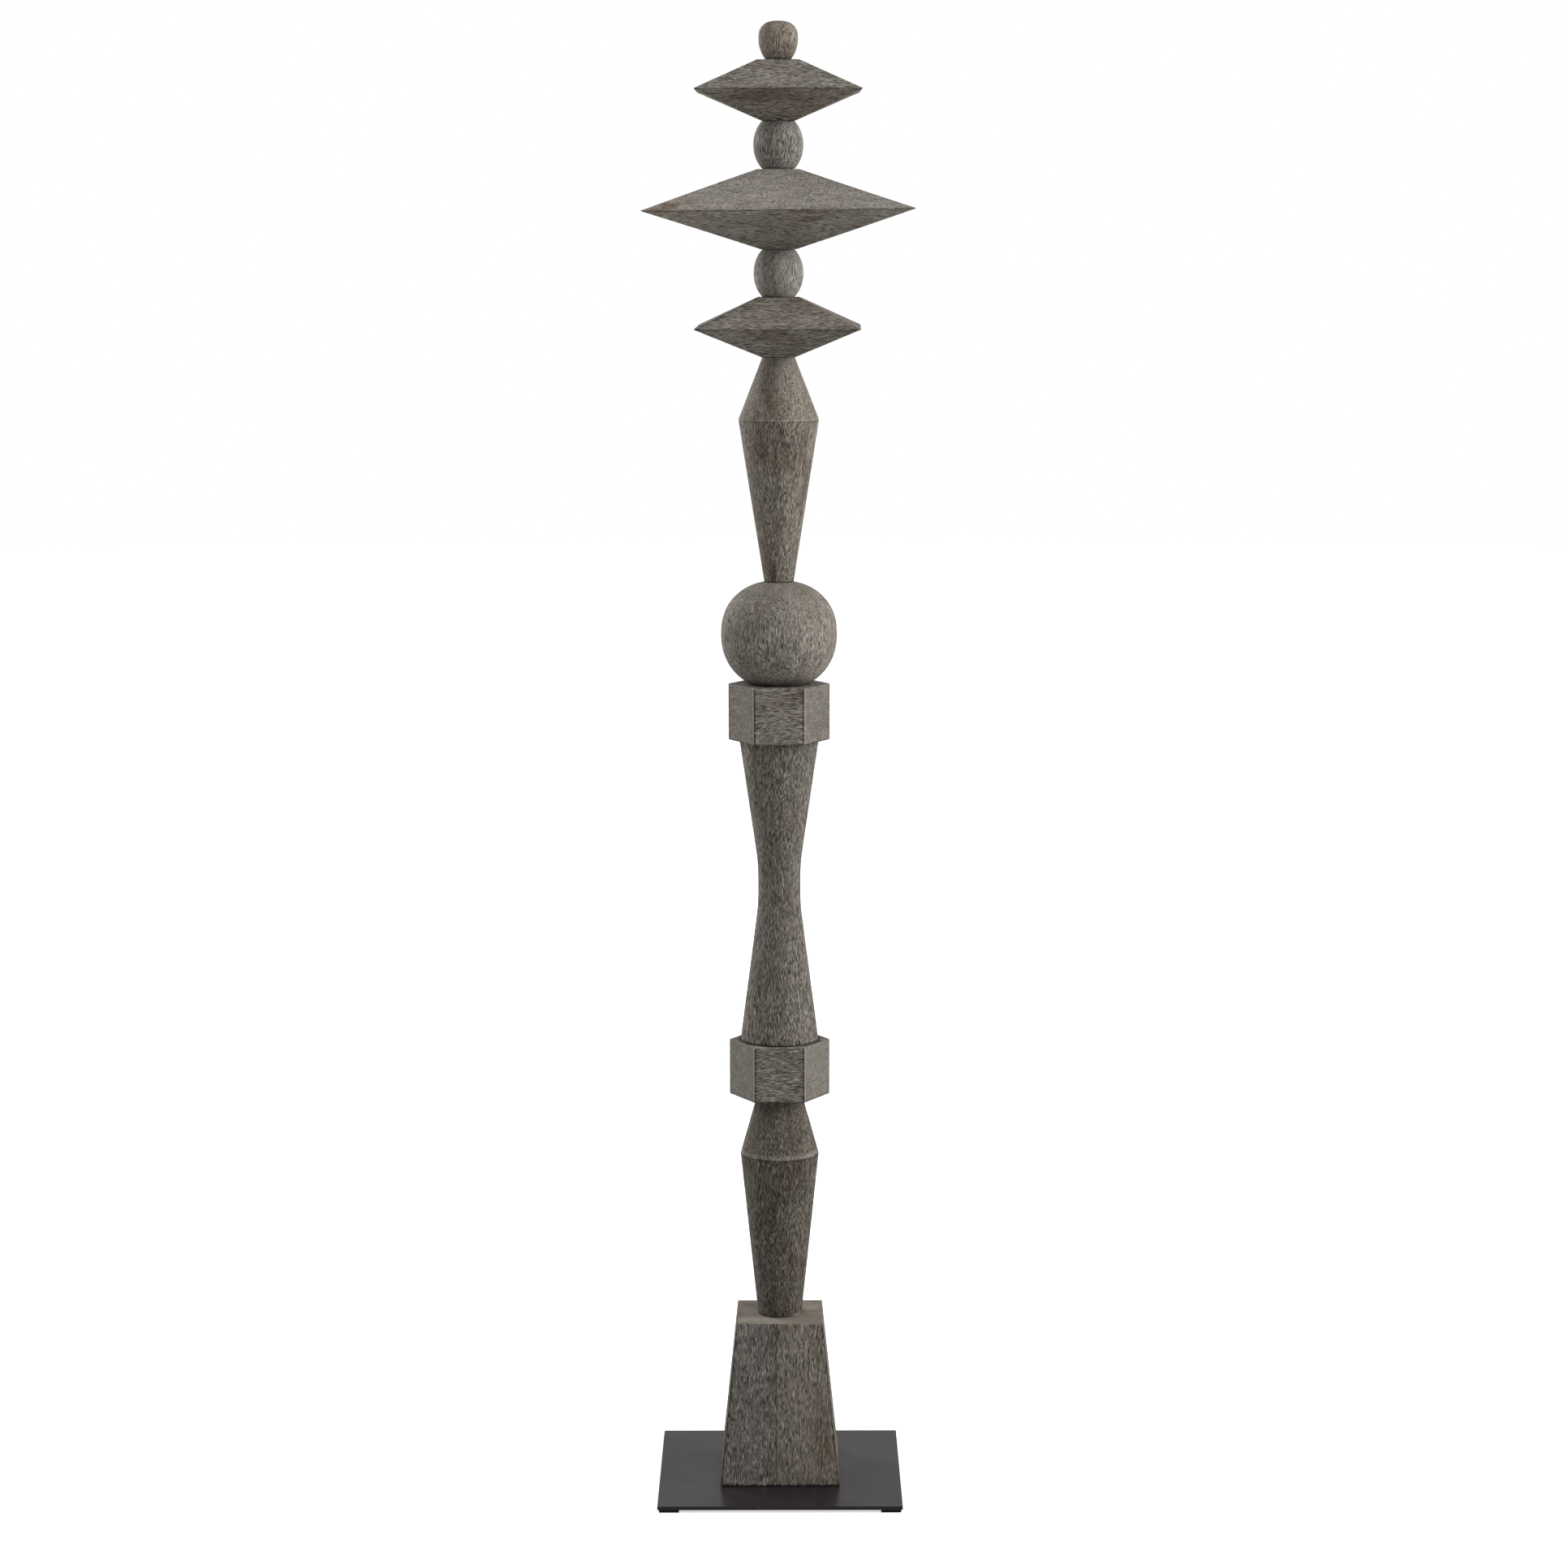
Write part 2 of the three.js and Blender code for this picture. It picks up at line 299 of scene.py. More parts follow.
def noise(points, cell, seed):
    """Smooth noise from 0 to 1 at each point, with one random value per cell of the given size."""
    scaled = points / np.asarray(cell, float)
    corner = np.floor(scaled).astype(np.int64)
    inside = scaled - corner
    weight = inside * inside * (3 - 2 * inside)
    total = np.zeros(len(points))
    for dx in (0, 1):
        for dy in (0, 1):
            for dz in (0, 1):
                value = lattice(corner[:, 0] + dx, corner[:, 1] + dy, corner[:, 2] + dz, seed)
                wx = weight[:, 0] if dx else 1 - weight[:, 0]
                wy = weight[:, 1] if dy else 1 - weight[:, 1]
                wz = weight[:, 2] if dz else 1 - weight[:, 2]
                total += value * wx * wy * wz
    return total


def node_levels(node):
    """The outline of a CAD node upwards: at each level, the widest distance from the axis and the height."""
    corners = np.array([v.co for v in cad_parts[node].data.vertices])
    heights = np.round(corners[:, 2], 5)
    reach = np.hypot(corners[:, 0], corners[:, 1])
    return [(float(reach[heights == level].max()), float(level)) for level in np.unique(heights)]


def corner_angle(node):
    """The direction of a CAD node's farthest corner, seen from above."""
    corners = [v.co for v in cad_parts[node].data.vertices]
    farthest = max(corners, key=lambda v: v.x * v.x + v.y * v.y)
    return math.atan2(farthest.y, farthest.x)


def round_section(count):
    """Points round a circle of radius 1."""
    angles = np.linspace(0, 2 * math.pi, count, endpoint=False)
    return np.stack([np.cos(angles), np.sin(angles)], axis=1)


def flat_section(sides, start, rounding, step, lines):
    """Points round a polygon whose corners lie at distance 1 before rounding, and at lines beside them."""
    apothem = math.cos(math.pi / sides)
    centre_reach = (apothem - rounding) / apothem
    side_count = max(2, round(2 * math.sin(math.pi / sides) / step))
    points = []
    for k in range(sides):
        direction = start + 2 * math.pi * k / sides
        centre = centre_reach * np.array([math.cos(direction), math.sin(direction)])
        for turn in CORNER_TURNS:
            facing = direction + turn * math.pi / sides
            points.append(centre + rounding * np.array([math.cos(facing), math.sin(facing)]))
        following = direction + 2 * math.pi / sides
        end_angle = following - math.pi / sides
        end_centre = centre_reach * np.array([math.cos(following), math.sin(following)])
        end = end_centre + rounding * np.array([math.cos(end_angle), math.sin(end_angle)])
        begin = points[-1]
        close = [line / np.linalg.norm(end - begin) for line in lines]
        shares = [i / side_count for i in range(1, side_count)]
        open_part = [share for share in shares if close[-1] < share < 1 - close[-1]]
        for t in (*close, *open_part, *(1 - t for t in reversed(close))):
            points.append(begin + (end - begin) * t)
    return np.array(points)


def turn_between(back, ahead):
    """How far a path turns at a corner, from the steps back and ahead to the points beside it."""
    return math.acos(np.clip(-back @ ahead / np.linalg.norm(back) / np.linalg.norm(ahead), -1, 1))


def rounded_path(points, reach, lines=()):
    """An outline with each real corner turned into a short curve that starts and ends at reach from it.

    The lines are distances from each curve's ends at which the outline gets further points.
    """
    made = [np.array(points[0])]
    for before, corner, after in zip(points, points[1:], points[2:]):
        before, corner, after = (np.array(p, float) for p in (before, corner, after))
        back = before - corner
        ahead = after - corner
        if turn_between(back, ahead) < SMOOTH_TURN:
            made.append(corner)
            continue
        start = corner + back * min(LONGEST_SHARE, reach / np.linalg.norm(back))
        end = corner + ahead * min(LONGEST_SHARE, reach / np.linalg.norm(ahead))
        shares_back = [(reach + line) / np.linalg.norm(back) for line in reversed(lines)]
        made += [corner + back * t for t in shares_back if t < LONGEST_SHARE]
        for t in CURVE_SHARES:
            made.append((1 - t) ** 2 * start + 2 * t * (1 - t) * corner + t * t * end)
        shares_ahead = [(reach + line) / np.linalg.norm(ahead) for line in lines]
        made += [corner + ahead * t for t in shares_ahead if t < LONGEST_SHARE]
    made.append(np.array(points[-1], float))
    return made


def smooth_path(points, per_segment, closes_on_axis):
    """A smooth curve through the points, for outlines that bulge."""
    known = [np.array(p, float) for p in points]
    first = 2 * known[0] - known[1]
    last = known[-2] * (-1, 1) if closes_on_axis else 2 * known[-1] - known[-2]
    padded = [first, *known, last]
    made = []
    for a, b, c, d in zip(padded, padded[1:], padded[2:], padded[3:]):
        for t in np.arange(per_segment) / per_segment:
            bend = (2 * a - 5 * b + 4 * c - d) * t**2
            twist = (3 * b - a - 3 * c + d) * t**3
            made.append(0.5 * (2 * b + (c - a) * t + bend + twist))
    return made + [known[-1]]


def split_path(points, step):
    """The same path with no two points further apart than step."""
    made = [points[0]]
    for start, end in zip(points, points[1:]):
        count = max(1, math.ceil(np.linalg.norm(end - start) / step))
        made += [start + (end - start) * i / count for i in range(1, count + 1)]
    return np.array(made)


def grid_normals(grid):
    """Outward normals of a grid of points whose rows run upwards and whose columns go round."""
    along = np.gradient(grid, axis=0)
    around = np.roll(grid, -1, axis=1) - np.roll(grid, 1, axis=1)
    normals = np.cross(around, along)
    size = np.linalg.norm(normals, axis=2, keepdims=True)
    return normals / np.maximum(size, 1e-12)


def grain_space(points, grain, seed):
    """Where each point lies in the wood, in metres: two coordinates across the grain and one along it."""
    placed = points[:, grain].copy()
    sway = noise(placed, SWAY_CELL, seed + 101) - 0.5
    swell = noise(placed, SWELL_CELL, seed + 102) - 0.5
    wriggle = noise(placed, WRIGGLE_CELL, seed + 103) - 0.5
    placed[:, 0] += SWAY * sway + WRIGGLE * wriggle
    placed[:, 1] += SWAY * swell - WRIGGLE * wriggle
    return placed + PIECE_SHIFT * (seed % PIECE_PLACES)


def figure(placed, wood, seed):
    """How deep the brush cut at each point, from 0 to 1, from fibres, broader bands and growth rings."""
    width = wood.groove_width
    run = wood.groove_length
    fine = noise(placed, (width, width, run), seed)
    band = noise(placed, (2.6 * width, 2.6 * width, 3.2 * run), seed + 1)
    pith = PITH + PIECE_SHIFT[:2] * (seed % PIECE_PLACES)
    radius = np.hypot(placed[:, 0] - pith[0], placed[:, 1] - pith[1])
    waver = noise(placed, RING_CELL, seed + 2)
    ring = (radius / wood.ring_spacing + 1.5 * waver) % 1
    return np.clip(0.5 + 1.3 * (fine - 0.5) + 0.7 * (band - 0.5) + 0.25 * (ring - 0.5), 0, 1)


def add_mesh(name, vertices, faces, marks, material):
    """A smooth-shaded object from arrays of vertices and faces, with its marks as point attributes."""
    mesh = bpy.data.meshes.new(name)
    mesh.from_pydata(vertices.tolist(), [], faces)
    for mark, values in marks.items():
        kind = "FLOAT_VECTOR" if values.ndim == 2 else "FLOAT"
        field = "vector" if values.ndim == 2 else "value"
        attribute = mesh.attributes.new(mark, kind, "POINT")
        attribute.data.foreach_set(field, values.astype(np.float32).ravel())
    mesh.polygons.foreach_set("use_smooth", np.ones(len(mesh.polygons), bool))
    mesh.materials.append(material)
    mesh.update()
    piece = bpy.data.objects.new(name, mesh)
    bpy.context.scene.collection.objects.link(piece)
    return piece


def grid_faces(rows, columns):
    """Faces of a closed grid: rings of quads, and a fan at each end round a single point."""
    bottom = 0
    top = 1 + rows * columns
    ring = np.arange(columns)
    following = (ring + 1) % columns
    start = 1 + np.arange(rows - 1)[:, None] * columns
    above = start + columns
    quads = np.stack([start + ring, start + following, above + following, above + ring], axis=2)
    last = 1 + (rows - 1) * columns
    fan_below = [(bottom, 1 + b, 1 + a) for a, b in zip(ring.tolist(), following.tolist())]
    fan_above = [(top, last + a, last + b) for a, b in zip(ring.tolist(), following.tolist())]
    return fan_below + quads.reshape(-1, 4).tolist() + fan_above


def attach(piece, node):
    """The piece stands for a CAD node, whose part it hides, and rides on its body."""
    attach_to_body(piece, BODY)
    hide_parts(node)


def near(distance, width):
    """1 at no distance, falling softly to nothing over the width."""
    return np.exp(-((distance / width) ** 2))


def outline_wear(points, path):
    """How near each point is to a sharp corner of the outline, from 0 to 1."""
    wear = np.zeros(len(points))
    reach = np.hypot(points[:, 0], points[:, 1])
    for before, corner, after in zip(path, path[1:], path[2:]):
        if turn_between(before - corner, after - corner) > WORN_TURN:
            level = near(points[:, 2] - corner[1], WORN_WIDTH)
            wear = np.maximum(wear, level * near(reach - corner[0], 6 * WORN_WIDTH))
    return wear


def corner_distance(points, sides, start):
    """How far each point is from the nearest upright corner of its many-sided section."""
    turn = 2 * math.pi / sides
    offset = (np.arctan2(points[:, 1], points[:, 0]) - start + turn / 2) % turn - turn / 2
    return np.hypot(points[:, 0], points[:, 1]) * np.abs(np.sin(offset))


def corner_wear(points, sides, start):
    """How near each point is to an upright corner of its many-sided section, from 0 to 1."""
    if not sides:
        return np.zeros(len(points))
    return near(corner_distance(points, sides, start), WORN_WIDTH)


def mesh_steps(plan):
    """How far apart a piece's mesh has its columns and its rows: close across the grain, wide along it."""
    wood = bpy.context.scene.totem_wood
    if plan["grain"] == UPRIGHT:
        return wood.column_step, wood.row_step
    # The outline follows the corners, which are longer than the faces between them.
    return wood.row_step, wood.column_step * LEVEL_COARSENESS / math.cos(math.pi / plan["sides"])


def swept_grid(path, section):
    """A row of points for each point of the path: the section, as wide as the path is there."""
    grid = np.empty((len(path), len(section), 3))
    grid[:, :, :2] = path[:, None, :1] * section[None]
    grid[:, :, 2] = path[:, 1:]
    return grid


def common_marks(node, points, normals, widest, wear):
    """What the material reads at each point of a piece, before the marks that only this piece has."""
    plan = PIECES[node]
    grain = list(plan["grain"])
    seed = plan["seed"]
    brushed = points.copy()
    if not plan["sides"]:
        # The brush follows a turned face, so its lines run on down a slope instead of ending in cut fibres.
        reach = np.maximum(np.hypot(points[:, 0], points[:, 1]), HUB_RADIUS)
        brushed[:, :2] *= ((widest / reach) ** 0.6)[:, None]
    placed = grain_space(brushed, grain, seed)
    # The wire brush bit deeper in some places than in others.
    bite = noise(points, BITE_CELL, seed + 104)
    end_grain = np.abs(normals[:, grain[2]])
    # Painted shade: a thin dark line along each piece's lower edge, where it meets the next piece down.
    foot = near(points[:, 2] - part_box(node)[0][2], FOOT_SHADE) * (normals[:, 2] > -0.7)
    return {
        "grain": placed,
        "groove": figure(placed, bpy.context.scene.totem_wood, seed),
        "wear": plan["edge"] * wear * (1 - foot),
        "soot": 0.7 * foot,
        "tone": np.full(len(points), plan["tone"]),
        "warmth": np.full(len(points), plan["warmth"]),
        "contrast": (1 - 0.15 * end_grain**2) * (0.85 + 0.3 * bite),
    }


def wooden_piece(node, bulges=False, marked=None):
    """Makes one wooden piece: its outline swept round the axis, brushed along the grain and marked.

    The marks are what the material reads at each point, and marked changes them and the points of one piece.
    """
    wood = bpy.context.scene.totem_wood
    plan = PIECES[node]
    sides = plan["sides"]
    rounding = wood.edge_radius * plan.get("crisp", 1.0)
    sharp, path = outline(node, bulges, rounding)
    widest = max(p[0] for p in path)
    across, along = mesh_steps(plan)
    start = 0.0
    if sides:
        start = corner_angle(node)
        lines = [line / widest for line in EDGE_LINES]
        section = flat_section(sides, start, rounding / widest, across / widest, lines)
    else:
        section = round_section(round(2 * math.pi * widest / across))
    path = split_path(path, along)
    grid = swept_grid(path[1:-1], section)
    normals = grid_normals(grid).reshape(-1, 3)
    points = grid.reshape(-1, 3)
    wear = np.maximum(outline_wear(points, sharp), corner_wear(points, sides, start))
    marks = common_marks(node, points, normals, widest, wear)
    if marked:
        points = marked(points, normals, marks)
    depth = wood.groove_depth * np.minimum(marks["contrast"], 1) * marks["groove"]
    moved = points + normals * (0.5 * wood.groove_depth - depth)[:, None]
    ends = np.array([[0, 0, path[0][1]], [0, 0, path[-1][1]]])
    vertices = np.concatenate([ends[:1], moved, ends[1:]])
    marks = {name: np.concatenate([values[:1], values, values[-1:]]) for name, values in marks.items()}
    piece = add_mesh(node + "_wood", vertices, grid_faces(*grid.shape[:2]), marks, limed_oak())
    attach(piece, node)


def outline(node, bulges, rounding):
    """A CAD node's outline from axis to axis, twice: its sharp corners only, and the path that is swept."""
    levels = [np.array(level) for level in node_levels(node)]
    closes = levels[-1][0] < ON_AXIS
    axis = (0.0, 1.0)
    sharp = [levels[0] * axis, *levels]
    if not closes:
        sharp.append(levels[-1] * axis)
    if not bulges:
        return sharp, rounded_path(sharp, rounding, EDGE_LINES)
    curve = smooth_path(levels, BULGE_POINTS, closes)
    path = [levels[0] * axis, *curve]
    if not closes:
        path.append(levels[-1] * axis)
    # Where it bulges, only the rim of its foot is sharp.
    return sharp[:3], rounded_path(path, rounding)


def mark_block(points, normals, marks):
    """The block's staves, its smooth sawn top and the nicks along its foot."""
    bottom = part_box("tapered_block")[0][2]
    upward = np.clip(normals[:, 2], 0, 1) ** 4
    side = np.where(points[:, 0] < STAVE_JOINT, -1.0, 1.0)
    front = np.abs(normals[:, 1]) > 0.7
    flank = np.abs(normals[:, 0]) > 0.7
    marks["grain"][:, 0] += np.where(front, STAVE_SHIFT * side, 0)
    # The left side is much darker than the front, and the right one a little.
    outward = np.where(points[:, 0] < 0, -0.19, -0.05)
    marks["tone"] += 0.18 * upward + np.where(front, 0.06 * side, outward * (1 - upward))
    # The faces lean, and the brush ran straight up them.
    marks["grain"][:, 1] -= np.where(front, points[:, 1], 0)
    marks["grain"][:, 0] -= np.where(flank, points[:, 0], 0)
    marks["contrast"] *= (1 - 0.75 * upward) * np.where(front, 0.78, 1)
    stained = np.clip((points[:, 0] - STAIN_START) / STAIN_REACH, 0, 1)
    marks["warmth"] += np.where(front, 0.25 * side + 0.15 * stained, 0.3)
    joint = near(points[:, 0] - STAVE_JOINT, JOINT_WIDTH) * (1 - upward)
    marks["soot"] += 0.4 * np.where(front, joint, 0)
    band = near(points[:, 0] - STAVE_JOINT + BAND_OFFSET, BAND_WIDTH)
    marks["tone"] -= 0.06 * np.where(front, band, 0)
    # The sawn edges up the block's corners are a little darker than its faces.
    corner = near(np.abs(points[:, 0]) - np.abs(points[:, 1]), SAWN_CORNER) * (1 - upward)
    marks["soot"] += 0.55 * corner
    # Ragged nicks where the foot meets the plate.
    foot = near(points[:, 2] - bottom, NICK_HEIGHT)
    ragged = noise(points, NICK_CELL, NICK_SEED)
    nick = foot * np.clip((ragged - 0.52) * 4, 0, 1) * (np.abs(normals[:, 2]) < 0.9)
    marks["soot"] += 1.1 * nick
    return points - normals * (NICK_DEPTH * nick)[:, None]


def mark_collar(above, front_tone):
    """A collar's pale and dark corners, its front's tone, and painted shade round the foot of the piece
    above it.
    """
    seat = node_levels(above)[0][0]

    def marked(points, normals, marks):
        reach = np.hypot(points[:, 0], points[:, 1])
        distance = corner_distance(points, 6, 0)
        upright = 1 - np.abs(normals[:, 2])
        # The grain runs along the front and back faces, and their ends are darker.
        broad = np.abs(normals[:, 1]) > 0.8
        end_corner = np.abs(points[:, 1]) < 0.3 * reach
        dirt = near(distance - CORNER_DIRT_AT, CORNER_DIRT_WIDTH)
        dark = np.where(broad, dirt, np.where(end_corner, near(distance, END_CORNER_WIDTH), 0))
        pale = np.where(broad | end_corner, 0, near(distance - CORNER_WEAR_AT, CORNER_WEAR_WIDTH))
        marks["tone"] += np.where(broad, front_tone, 0)
        marks["soot"] += 0.9 * dark * upright
        marks["wear"] += 0.7 * pale * upright
        marks["wear"] *= np.where(end_corner, 0, 1)
        # Painted shade on the collar's top, round the foot of the piece that stands on it.
        on_top = np.clip(normals[:, 2], 0, 1) ** 2
        marks["soot"] += 0.7 * near(reach - seat, SEAT_SHADE_WIDTH) * on_top
        return points

    return marked


def mark_upper_collar(points, normals, marks):
    """The upper collar's grain, which arches over a heart near the lower edge of its front."""
    points = mark_collar("ball", 0.06)(points, normals, marks)
    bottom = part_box("upper_collar")[0][2]
    aside = (points[:, 0] - HEART_AT) / HEART_WIDTH
    front = normals[:, 1] < -0.8
    fade = near(points[:, 2] - bottom, HEART_HEIGHT) * front
    marks["grain"][:, 1] += ARCH_RISE * np.minimum(aside**2, 2) * fade
    marks["contrast"] *= np.where(front, 0.9, 1)
    return points


def mark_ball(points, normals, marks):
    """The ball's lower left, darker than the rest of it: painted shade."""
    shade = np.clip(-0.7 * normals[:, 0] - 0.7 * normals[:, 2], 0, 1)
    marks["tone"] -= 0.16 * shade
    return points


def mark_spindle(node):
    """A spindle's upper cone, painted paler for the light that falls on it from above, and its ring: the
    edge worn pale, with a thin dark line beside it.
    """
    level = max(node_levels(node))[1]
    ring = SPINDLE_RINGS[node]

    def marked(points, normals, marks):
        height = points[:, 2] - level
        pale = near(height - ring["pale_at"], ring["pale_width"])
        marks["wear"] *= 1 - near(height, RING_WEAR_WIDTH)
        marks["tone"] += 0.1 * pale
        marks["wear"] += 0.35 * pale
        marks["soot"] += ring["dark"] * near(height - ring["dark_at"], RING_DARK_WIDTH)
        # Painted light: the upper cone, which faces up, is made paler.
        marks["tone"] += np.where(height > 0, 0.1, 0)
        marks["contrast"] *= np.where(height > 0, 0.8, 1)
        return points

    return marked


def mark_pyramid(node):
    """A double pyramid's painted shade just under its ridge, its dark corners, the tones of its faces and
    the rise of its ridge.
    """
    low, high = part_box(node)
    middle = (low[2] + high[2]) / 2
    half = (high[2] - low[2]) / 2
    faces = PYRAMID_FACES[node]

    def marked(points, normals, marks):
        height = points[:, 2] - middle
        # Painted shade: a thin dark line just under the ridge.
        marks["soot"] += 0.6 * near(height + RIDGE_SHADE_DROP, RIDGE_SHADE_WIDTH)
        edge = near(np.abs(points[:, 0]) - np.abs(points[:, 1]), PYRAMID_CORNER)
        marks["soot"] += np.where(height < 0, 0.5, 0.4) * edge
        sideways = np.abs(normals[:, 0]) > np.abs(normals[:, 1])
        marks["tone"] += np.where(height > 0, faces["above"], faces["below"] - 0.18 * sideways)
        marks["contrast"] *= np.where(height > 0, 1.2, 2.3)
        marks["warmth"] += np.where(height > 0, 0, 0.2)
        rise = faces["rise"] * points[:, 0] / (high[0] - low[0]) * 2 * (1 - np.abs(height) / half)
        return points + np.stack([np.zeros(len(points)), np.zeros(len(points)), rise], axis=1)

    return marked


def mark_large_pyramid(points, normals, marks):
    """The large double pyramid's stain: warm at its left end, with a brown patch under the ridge."""
    points = mark_pyramid("large_pyramid")(points, normals, marks)
    low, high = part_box("large_pyramid")
    middle = (low[2] + high[2]) / 2
    below = points[:, 2] < middle
    # Its upper faces are cross-cut, so their streaks are short.
    marks["grain"][:, 2] *= np.where(points[:, 2] > middle, 2.4, 1.0)
    marks["warmth"] += 0.7 * np.clip((-points[:, 0] - WARM_END_START) / WARM_END_REACH, 0, 1)
    patch = near(points[:, 0] - PATCH_AT, PATCH_WIDTH)
    patch = patch * near(points[:, 2] - middle + PATCH_DROP, PATCH_HEIGHT)
    marks["warmth"] += 0.9 * patch * below
    marks["contrast"] *= np.where(below, 1, 1.4)
    # The wood left of each glue joint is a little paler than the wood right of it.
    marks["tone"] += np.where(below, np.where(points[:, 0] < LOWER_JOINT, 0.015, -0.015), 0)
    marks["tone"] += np.where(below, 0, np.where(points[:, 0] < UPPER_JOINT, 0.015, -0.02))
    return points


def mark_lower_spindle(points, normals, marks):
    """The lower spindle's ring, and specks of dried glue where it stands on the block."""
    points = mark_spindle("lower_spindle")(points, normals, marks)
    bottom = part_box("lower_spindle")[0][2]
    window = near(points[:, 2] - bottom - GLUE_LEVEL, GLUE_HEIGHT)
    window = window * near(points[:, 0] - GLUE_AT, GLUE_WIDTH)
    specks = noise(points, GLUE_CELL, GLUE_SEED)
    glue = np.where(points[:, 1] < 0, window, 0) * np.clip((specks - 0.5) * 5, 0, 1)
    marks["wear"] += 2.5 * glue
    return points


def add_node(tree, kind, inputs, **settings):
    """Adds one shader node with its settings, each input given as a value or as the socket that feeds it."""
    made = tree.nodes.new(kind)
    for name, value in settings.items():
        setattr(made, name, value)
    for name, value in inputs.items():
        if isinstance(value, bpy.types.NodeSocket):
            tree.links.new(value, made.inputs[name])
        else:
            made.inputs[name].default_value = value
    return made


def new_material(name):
    """An empty material and its node tree."""
    material = bpy.data.materials.new(name)
    material.use_nodes = True
    tree = material.node_tree
    tree.nodes.clear()
    return material, tree


def end_material(tree, inputs):
    """Ends a material with one principled surface."""
    surface = add_node(tree, "ShaderNodeBsdfPrincipled", inputs)
    add_node(tree, "ShaderNodeOutputMaterial", {"Surface": surface.outputs["BSDF"]})


def even_noise(tree, place, size, detail):
    """Noise with cells of a size in metres, the same in every direction."""
    inputs = {"Vector": place, "Scale": 1 / size, "Detail": detail}
    return add_node(tree, "ShaderNodeTexNoise", inputs).outputs["Fac"]


def add_terms(tree, total, terms):
    """The total plus every term: how far a socket's value lies from its middle, times a strength."""
    for socket, middle, strength in terms:
        centred = add_node(tree, "ShaderNodeMath", {0: socket, 1: middle}, operation="SUBTRACT").outputs[0]
        total = add_node(
            tree, "ShaderNodeMath", {0: centred, 1: strength, 2: total}, operation="MULTIPLY_ADD"
        ).outputs[0]
    return total


def limed_oak():
    """Oak, wire brushed, weathered and limed: matt, its raised grain pale with lime over dark grooves."""
    name = "oak_wire_brushed_and_limed"
    if name in bpy.data.materials:
        return bpy.data.materials[name]
    wood = bpy.context.scene.totem_wood
    material, tree = new_material(name)
    grain = add_node(tree, "ShaderNodeAttribute", {}, attribute_name="grain").outputs["Vector"]
    marks = {
        mark: add_node(tree, "ShaderNodeAttribute", {}, attribute_name=mark).outputs["Fac"]
        for mark in ("groove", "wear", "soot", "tone", "warmth", "contrast")
    }
    # Noise cells in millimetres: across the grain twice, then along it.
    # Real fibres are too fine to show, so the finest pattern is drawn coarser than they are.
    patterns = {"fibre": (0.6, 0.6, 7.5), "streak": (1.6, 1.6, 14.0), "stain": (28.0, 28.0, 60.0)}
    found = {}
    for label, cell in patterns.items():
        scale = tuple(1 / (MM * size) for size in cell)
        stretched = add_node(
            tree, "ShaderNodeVectorMath", {0: grain, 1: scale}, operation="MULTIPLY"
        ).outputs["Vector"]
        found[label] = add_node(
            tree, "ShaderNodeTexNoise",
            {"Vector": stretched, "Scale": 1.0, "Detail": 1.5, "Roughness": 0.5, "Distortion": 0.25},
        ).outputs["Fac"]
    # The height of the grain: raised fibres are high and pale, grooves are low and dark.
    figured = add_terms(
        tree, 0.0, ((found["fibre"], 0.5, 3.2), (found["streak"], 0.5, 0.4), (marks["groove"], 0.5, -0.25))
    )
    figured = add_node(
        tree, "ShaderNodeMath", {0: figured, 1: marks["contrast"]}, operation="MULTIPLY"
    ).outputs[0]
    # Soot and painted shade, from the marks, darken the wood.
    level = add_terms(
        tree, figured, ((found["stain"], 0.5, 0.26), (marks["tone"], -0.5, 1.0), (marks["soot"], 0.0, -0.8))
    )
    ramp = add_node(tree, "ShaderNodeValToRGB", {"Fac": level})
    ramp.color_ramp.elements[0].position = 0.0
    ramp.color_ramp.elements[0].color = wood.dark
    ramp.color_ramp.elements[1].position = 1.0
    ramp.color_ramp.elements[1].color = wood.light
    ramp.color_ramp.elements.new(0.5).color = wood.middle
    # Brown heartwood shows in patches where the grey skin is brushed away.
    patch = add_node(
        tree, "ShaderNodeMapRange",
        {"Value": found["stain"], "From Min": 0.42, "From Max": 0.68, "To Min": 0.0, "To Max": 0.9},
    ).outputs["Result"]
    brownness = add_node(
        tree, "ShaderNodeMath", {0: patch, 1: marks["warmth"]}, operation="MULTIPLY"
    ).outputs[0]
    warmed = add_node(
        tree, "ShaderNodeMix", {0: brownness, 6: ramp.outputs["Color"], 7: wood.brown},
        data_type="RGBA", blend_type="OVERLAY",
    ).outputs[2]
    # A yellowish oil has soaked into the wood, most of all into the warmer pieces.
    oiled = add_node(
        tree, "ShaderNodeMix", {0: marks["warmth"], 6: warmed, 7: wood.oil},
        data_type="RGBA", blend_type="MULTIPLY",
    ).outputs[2]
    worn = add_node(
        tree, "ShaderNodeMath", {0: marks["wear"], 1: found["fibre"]}, operation="MULTIPLY"
    ).outputs[0]
    edged = add_node(
        tree, "ShaderNodeMix", {0: worn, 6: oiled, 7: wood.light}, data_type="RGBA"
    ).outputs[2]
    roughness = add_node(
        tree, "ShaderNodeMapRange", {"Value": level, "To Min": 0.92, "To Max": 0.7}
    ).outputs["Result"]
    bump = add_node(
        tree, "ShaderNodeBump", {"Height": found["fibre"], "Strength": 0.7, "Distance": 0.28 * MM}
    ).outputs["Normal"]
    end_material(tree, {
        "Base Color": edged, "Roughness": roughness, "Normal": bump,
        "IOR": 1.45, "Specular IOR Level": 0.25,
    })
    return material


